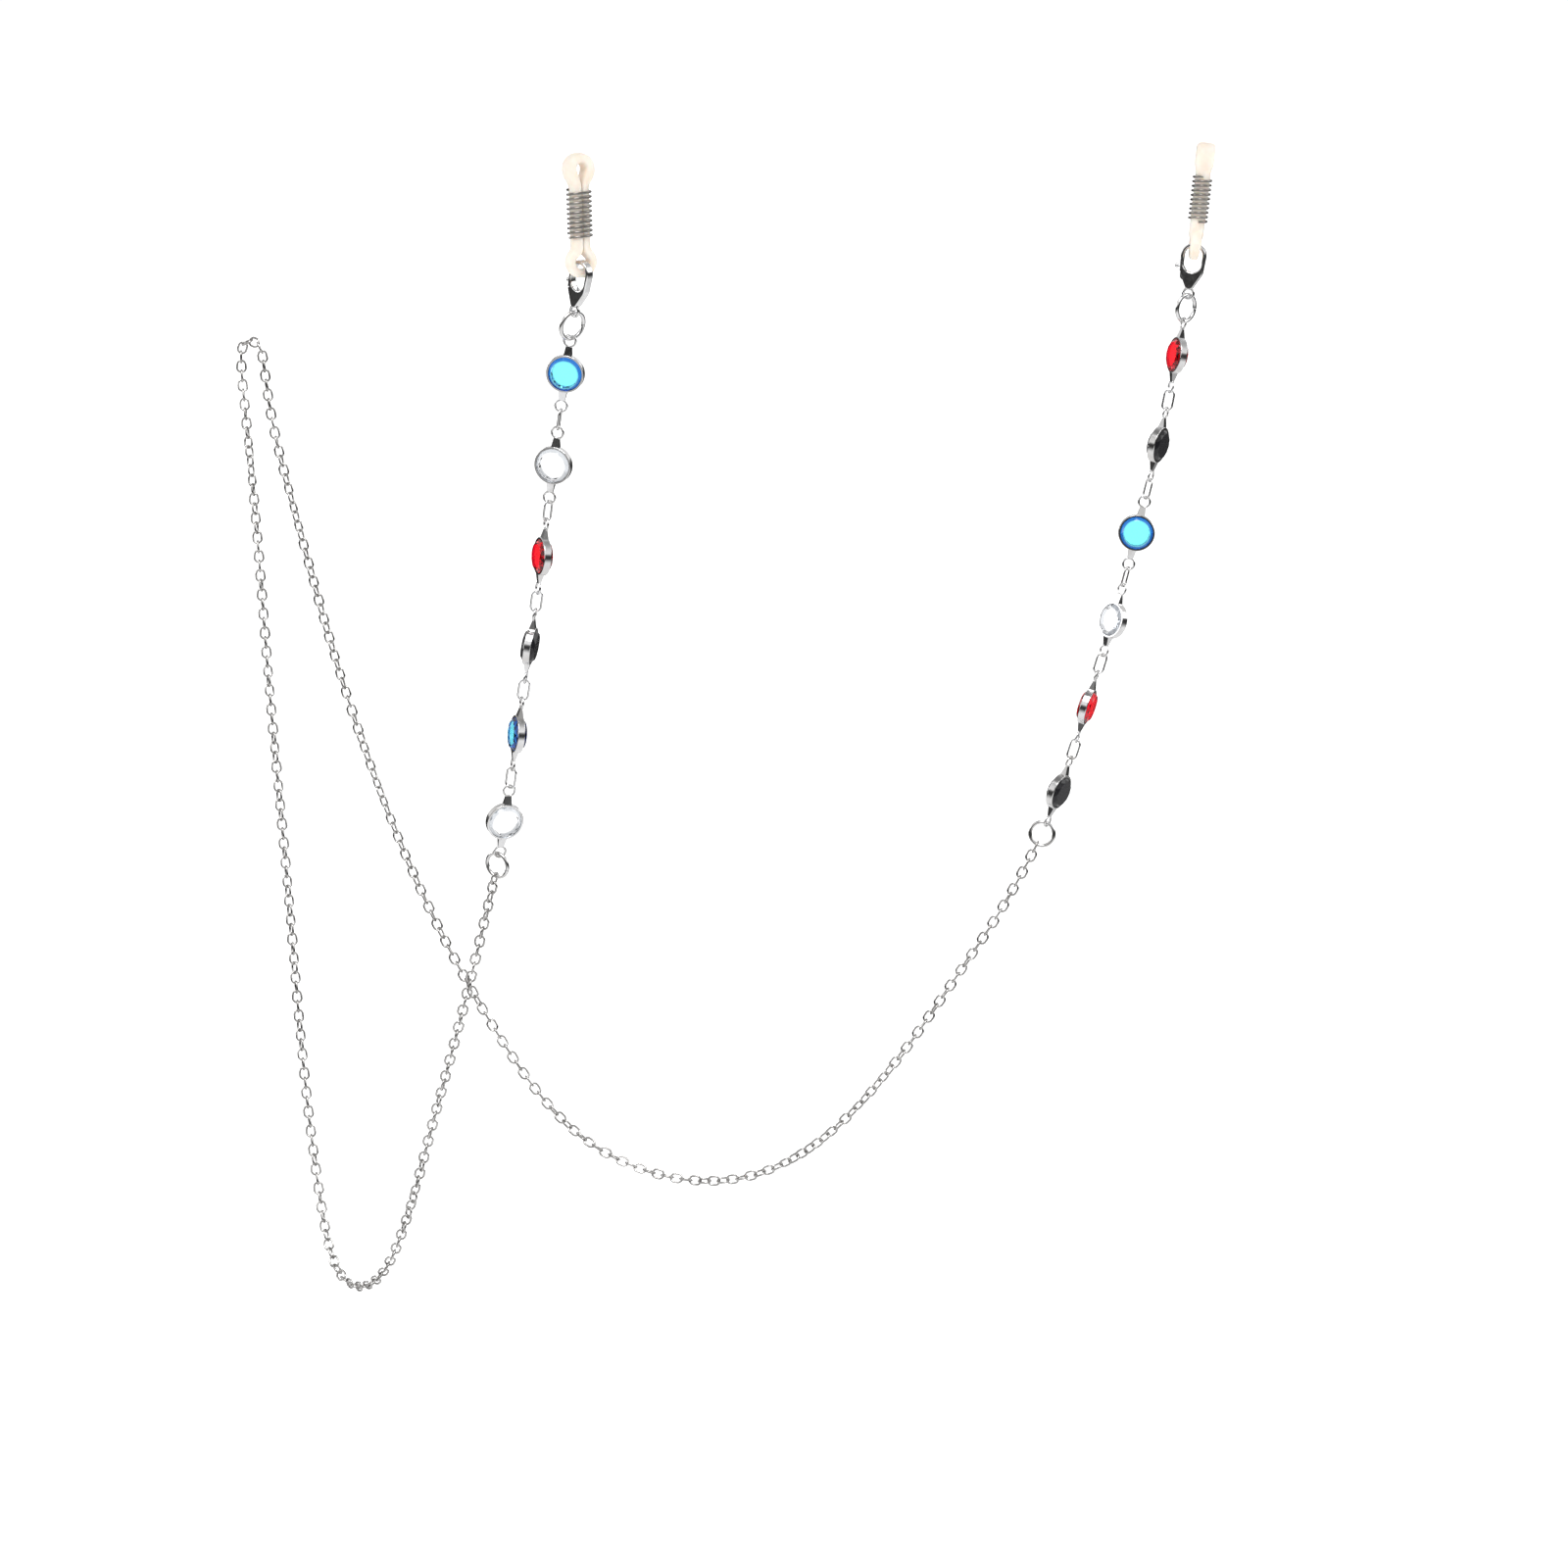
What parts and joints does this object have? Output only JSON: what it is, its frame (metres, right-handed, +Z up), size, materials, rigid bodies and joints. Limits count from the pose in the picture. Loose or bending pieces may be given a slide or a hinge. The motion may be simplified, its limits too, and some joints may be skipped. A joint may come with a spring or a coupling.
{
  "type": "eyeglass retainer strap",
  "caption": "decorative eyeglass chain: silicone temple loops gripped by coils, lobster clasps, crystals in round channel settings on small links, and a fine cable chain between them",
  "frame": {"origin": "the centre of the left temple eye, the bore that the glasses' left temple passes through", "axes": "+X runs across the glasses to the right temple eye, +Y runs back along the temples, +Z is up. The strap hangs as it does on a stand: from both temples, with the chain draped over one peg behind the glasses."},
  "size_m": [0.1397, 0.138, 0.2161],
  "materials": {
    "silicone": "translucent milky silicone, satin",
    "polished_metal": "polished silver plating",
    "chain": "polished silver plating",
    "crystal_blue": "clear faceted glass",
    "crystal_clear": "clear faceted glass",
    "crystal_red": "clear faceted glass",
    "crystal_black": "jet faceted glass"
  },
  "bodies": {
    "loops_and_chain": {"left_silicone_loop": "silicone", "right_silicone_loop": "silicone", "cable_chain": "chain"},
    "left_grip": {"left_grip_spring": "polished_metal"},
    "left_clasp": {"left_clasp_body": "polished_metal", "left_clasp_pin": "polished_metal", "left_clasp_spring": "polished_metal"},
    "left_lever": {"left_clasp_lever": "polished_metal"},
    "left_clasp_ring": {"left_clasp_ring": "polished_metal"},
    "left_crystal_1": {"left_setting_1": "polished_metal", "left_crystal_1": "crystal_blue"},
    "left_link_1": {"left_link_1": "polished_metal"},
    "left_crystal_2": {"left_setting_2": "polished_metal", "left_crystal_2": "crystal_clear"},
    "left_link_2": {"left_link_2": "polished_metal"},
    "left_crystal_3": {"left_setting_3": "polished_metal", "left_crystal_3": "crystal_red"},
    "left_link_3": {"left_link_3": "polished_metal"},
    "left_crystal_4": {"left_setting_4": "polished_metal", "left_crystal_4": "crystal_black"},
    "left_link_4": {"left_link_4": "polished_metal"},
    "left_crystal_5": {"left_setting_5": "polished_metal", "left_crystal_5": "crystal_blue"},
    "left_link_5": {"left_link_5": "polished_metal"},
    "left_crystal_6": {"left_setting_6": "polished_metal", "left_crystal_6": "crystal_clear"},
    "left_chain_ring": {"left_chain_ring": "polished_metal"},
    "right_grip": {"right_grip_spring": "polished_metal"},
    "right_clasp": {"right_clasp_body": "polished_metal", "right_clasp_pin": "polished_metal", "right_clasp_spring": "polished_metal"},
    "right_lever": {"right_clasp_lever": "polished_metal"},
    "right_clasp_ring": {"right_clasp_ring": "polished_metal"},
    "right_crystal_1": {"right_setting_1": "polished_metal", "right_crystal_1": "crystal_red"},
    "right_link_1": {"right_link_1": "polished_metal"},
    "right_crystal_2": {"right_setting_2": "polished_metal", "right_crystal_2": "crystal_black"},
    "right_link_2": {"right_link_2": "polished_metal"},
    "right_crystal_3": {"right_setting_3": "polished_metal", "right_crystal_3": "crystal_blue"},
    "right_link_3": {"right_link_3": "polished_metal"},
    "right_crystal_4": {"right_setting_4": "polished_metal", "right_crystal_4": "crystal_clear"},
    "right_link_4": {"right_link_4": "polished_metal"},
    "right_crystal_5": {"right_setting_5": "polished_metal", "right_crystal_5": "crystal_red"},
    "right_link_5": {"right_link_5": "polished_metal"},
    "right_crystal_6": {"right_setting_6": "polished_metal", "right_crystal_6": "crystal_black"},
    "right_chain_ring": {"right_chain_ring": "polished_metal"}
  },
  "joints": [
    {"name": "left_grip_slide", "type": "slide", "parent": "loops_and_chain", "child": "left_grip", "axis": [0.03, 0, -0.9996], "range_m": [0, 0.0015]},
    {"name": "left_clasp_swing", "type": "hinge", "parent": "loops_and_chain", "child": "left_clasp", "pos_m": [0.00055, 0, -0.01824], "axis": [-0.9996, 0, -0.03], "range_deg": [-25, 25]},
    {"name": "left_lever_open", "type": "hinge", "parent": "left_clasp", "child": "left_lever", "pos_m": [0.00031, 0.00243, -0.02151], "axis": [-0.9735, -0.2111, -0.0876], "range_deg": [0, 28], "stiffness_Nm_per_rad": 0.002, "springref_deg": -11.46, "deforming": ["left_clasp_spring"]},
    {"name": "left_clasp_ring_swing", "type": "hinge", "parent": "left_clasp", "child": "left_clasp_ring", "pos_m": [0.00063, 0.00273, -0.02576], "axis": [0.2283, -0.9157, -0.3306], "range_deg": [-30, 30]},
    {"name": "left_crystal_1_swing", "type": "hinge", "parent": "left_clasp_ring", "child": "left_crystal_1", "pos_m": [0.00067, 0.00413, -0.02981], "axis": [-0.9857, -0.1561, -0.0641], "range_deg": [-30, 30]},
    {"name": "left_link_1_swing", "type": "hinge", "parent": "left_crystal_1", "child": "left_link_1", "pos_m": [0.00079, 0.00783, -0.04274], "axis": [0.7543, -0.6329, -0.1748], "range_deg": [-30, 30]},
    {"name": "left_crystal_2_swing", "type": "hinge", "parent": "left_link_1", "child": "left_crystal_2", "pos_m": [0.00081, 0.00875, -0.04594], "axis": [-0.6667, -0.7149, -0.2107], "range_deg": [-30, 30]},
    {"name": "left_link_2_swing", "type": "hinge", "parent": "left_crystal_2", "child": "left_link_2", "pos_m": [0.00092, 0.01228, -0.0591], "axis": [0.67, -0.7185, -0.1869], "range_deg": [-30, 30]},
    {"name": "left_crystal_3_swing", "type": "hinge", "parent": "left_link_2", "child": "left_crystal_3", "pos_m": [0.00095, 0.01308, -0.06233], "axis": [-0.9634, -0.2582, -0.0717], "range_deg": [-30, 30]},
    {"name": "left_link_3_swing", "type": "hinge", "parent": "left_crystal_3", "child": "left_link_3", "pos_m": [0.00105, 0.01661, -0.0755], "axis": [-0.201, -0.9458, -0.255], "range_deg": [-30, 30]},
    {"name": "left_crystal_4_swing", "type": "hinge", "parent": "left_link_3", "child": "left_crystal_4", "pos_m": [0.00108, 0.01753, -0.0787], "axis": [-0.8844, 0.4506, 0.1214], "range_deg": [-30, 30]},
    {"name": "left_link_4_swing", "type": "hinge", "parent": "left_crystal_4", "child": "left_link_4", "pos_m": [0.0012, 0.02151, -0.09173], "axis": [0.6516, 0.7237, 0.2272], "range_deg": [-30, 30]},
    {"name": "left_crystal_5_swing", "type": "hinge", "parent": "left_link_4", "child": "left_crystal_5", "pos_m": [0.00124, 0.02254, -0.0949], "axis": [-0.856, 0.4942, 0.152], "range_deg": [-30, 30]},
    {"name": "left_link_5_swing", "type": "hinge", "parent": "left_crystal_5", "child": "left_link_5", "pos_m": [0.00136, 0.02652, -0.10794], "axis": [-0.2804, -0.9172, -0.2829], "range_deg": [-30, 30]},
    {"name": "left_crystal_6_swing", "type": "hinge", "parent": "left_link_5", "child": "left_crystal_6", "pos_m": [0.00139, 0.02744, -0.11114], "axis": [-0.4858, 0.8414, 0.2369], "range_deg": [-30, 30]},
    {"name": "left_chain_ring_swing", "type": "hinge", "parent": "left_crystal_6", "child": "left_chain_ring", "pos_m": [0.00151, 0.03165, -0.1241], "axis": [0.9765, -0.2076, -0.0577], "range_deg": [-30, 30]},
    {"name": "right_grip_slide", "type": "slide", "parent": "loops_and_chain", "child": "right_grip", "axis": [-0.0895, 0.0597, -0.9942], "range_m": [0, 0.0015]},
    {"name": "right_clasp_swing", "type": "hinge", "parent": "loops_and_chain", "child": "right_clasp", "pos_m": [0.13237, 0.00109, -0.01714], "axis": [-0.5299, -0.848, -0.0032], "range_deg": [-25, 25]},
    {"name": "right_lever_open", "type": "hinge", "parent": "right_clasp", "child": "right_lever", "pos_m": [0.13113, 0.0023, -0.02084], "axis": [-0.695, -0.7191, -0.0029], "range_deg": [0, 28], "stiffness_Nm_per_rad": 0.002, "springref_deg": -11.46, "deforming": ["right_clasp_spring"]},
    {"name": "right_clasp_ring_swing", "type": "hinge", "parent": "right_clasp", "child": "right_clasp_ring", "pos_m": [0.13158, 0.00188, -0.02507], "axis": [0.7123, -0.6879, -0.1391], "range_deg": [-30, 30]},
    {"name": "right_crystal_1_swing", "type": "hinge", "parent": "right_clasp_ring", "child": "right_crystal_1", "pos_m": [0.13111, 0.00235, -0.02929], "axis": [-0.9585, -0.2748, 0.076], "range_deg": [-30, 30]},
    {"name": "right_link_1_swing", "type": "hinge", "parent": "right_crystal_1", "child": "right_link_1", "pos_m": [0.1293, 0.00418, -0.0425], "axis": [-0.2407, -0.9654, -0.1002], "range_deg": [-30, 30]},
    {"name": "right_crystal_2_swing", "type": "hinge", "parent": "right_link_1", "child": "right_crystal_2", "pos_m": [0.12886, 0.00463, -0.04577], "axis": [-0.8046, 0.5634, 0.1879], "range_deg": [-30, 30]},
    {"name": "right_link_2_swing", "type": "hinge", "parent": "right_crystal_2", "child": "right_link_2", "pos_m": [0.1267, 0.0068, -0.05905], "axis": [0.8377, 0.544, -0.0471], "range_deg": [-30, 30]},
    {"name": "right_crystal_3_swing", "type": "hinge", "parent": "right_link_2", "child": "right_crystal_3", "pos_m": [0.12613, 0.00737, -0.06228], "axis": [0, 0.9847, 0.1743], "range_deg": [-30, 30]},
    {"name": "right_link_3_swing", "type": "hinge", "parent": "right_crystal_3", "child": "right_link_3", "pos_m": [0.12381, 0.00972, -0.0755], "axis": [0.8241, -0.515, -0.2359], "range_deg": [-30, 30]},
    {"name": "right_crystal_4_swing", "type": "hinge", "parent": "right_link_3", "child": "right_crystal_4", "pos_m": [0.1232, 0.01033, -0.07872], "axis": [-0.8554, -0.514, 0.0637], "range_deg": [-30, 30]},
    {"name": "right_link_4_swing", "type": "hinge", "parent": "right_crystal_4", "child": "right_link_4", "pos_m": [0.12055, 0.01299, -0.09182], "axis": [0.0682, -0.9748, -0.2122], "range_deg": [-30, 30]},
    {"name": "right_crystal_5_swing", "type": "hinge", "parent": "right_link_4", "child": "right_crystal_5", "pos_m": [0.11987, 0.01369, -0.09501], "axis": [-0.8993, 0.3452, 0.2686], "range_deg": [-30, 30]},
    {"name": "right_link_5_swing", "type": "hinge", "parent": "right_crystal_5", "child": "right_link_5", "pos_m": [0.11706, 0.01651, -0.10804], "axis": [0.7313, 0.682, -0.0095], "range_deg": [-30, 30]},
    {"name": "right_crystal_6_swing", "type": "hinge", "parent": "right_link_5", "child": "right_crystal_6", "pos_m": [0.11633, 0.01724, -0.11121], "axis": [-0.5729, 0.7602, 0.3064], "range_deg": [-30, 30]},
    {"name": "right_chain_ring_swing", "type": "hinge", "parent": "right_crystal_6", "child": "right_chain_ring", "pos_m": [0.11305, 0.02055, -0.12401], "axis": [0.8623, 0.4979, -0.0925], "range_deg": [-30, 30]}
  ]
}
